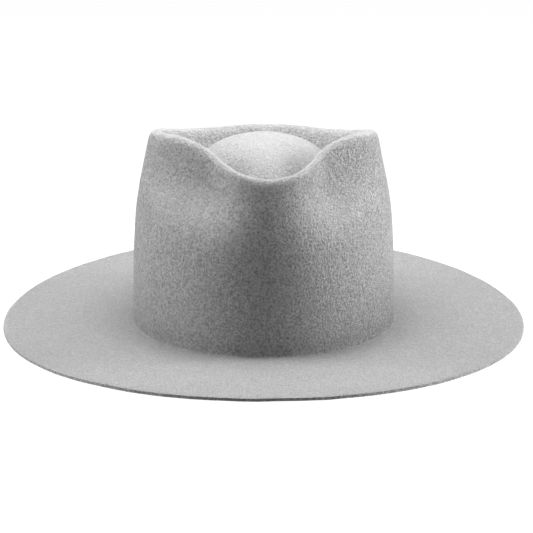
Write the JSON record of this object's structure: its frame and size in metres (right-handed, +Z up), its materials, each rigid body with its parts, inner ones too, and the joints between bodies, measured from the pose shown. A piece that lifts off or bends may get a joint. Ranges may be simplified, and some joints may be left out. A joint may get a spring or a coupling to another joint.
{
  "type": "felt fedora hat",
  "caption": "Wide-brim felt hat with a teardrop crown, two front pinches and a raw-edged brim, with a satin lining and a leather sweatband inside.",
  "frame": {"origin": "middle of the hat's box in plan, on the surface that the brim lies on", "axes": "+Z up through the crown, -Y to the front, where the pinches are, +X to the wearer's left"},
  "size_m": [0.349, 0.3782, 0.1344],
  "materials": {
    "felt": "matte wool felt with a short nap",
    "leather": "semi-matt, fine grain",
    "reed": "matt",
    "tape": "woven cotton tape",
    "leather_thread": "twisted thread",
    "felt_thread": "twisted thread",
    "ribbon": "ribbed ribbon",
    "satin": "satin weave, soft sheen",
    "piping": "satin-covered cord",
    "label": "woven tape, blank",
    "label_thread": "twisted thread"
  },
  "bodies": {
    "hat": {"felt_body": "felt", "sweatband": "leather", "sweatband_reed": "reed", "reed_tape": "tape", "reed_stitching": "leather_thread", "seat_stitching": "felt_thread", "rear_joint_tape": "tape", "rear_joint_stitching": "leather_thread", "sweatband_bow": "ribbon", "bow_wrap": "ribbon", "lining_sides": "satin", "lining_tip": "satin", "lining_piping": "piping", "care_label_sewn_end": "label", "care_label_stitching": "label_thread", "size_tab": "label", "size_tab_stitching": "label_thread"},
    "care_label": {"care_label": "label"}
  },
  "joints": [
    {"name": "care_label_flip", "type": "hinge", "parent": "hat", "child": "care_label", "pos_m": [0.02528, 0.09164, 0.0366], "axis": [-0.9341, 0.3571, 0], "range_deg": [0, 120]}
  ]
}
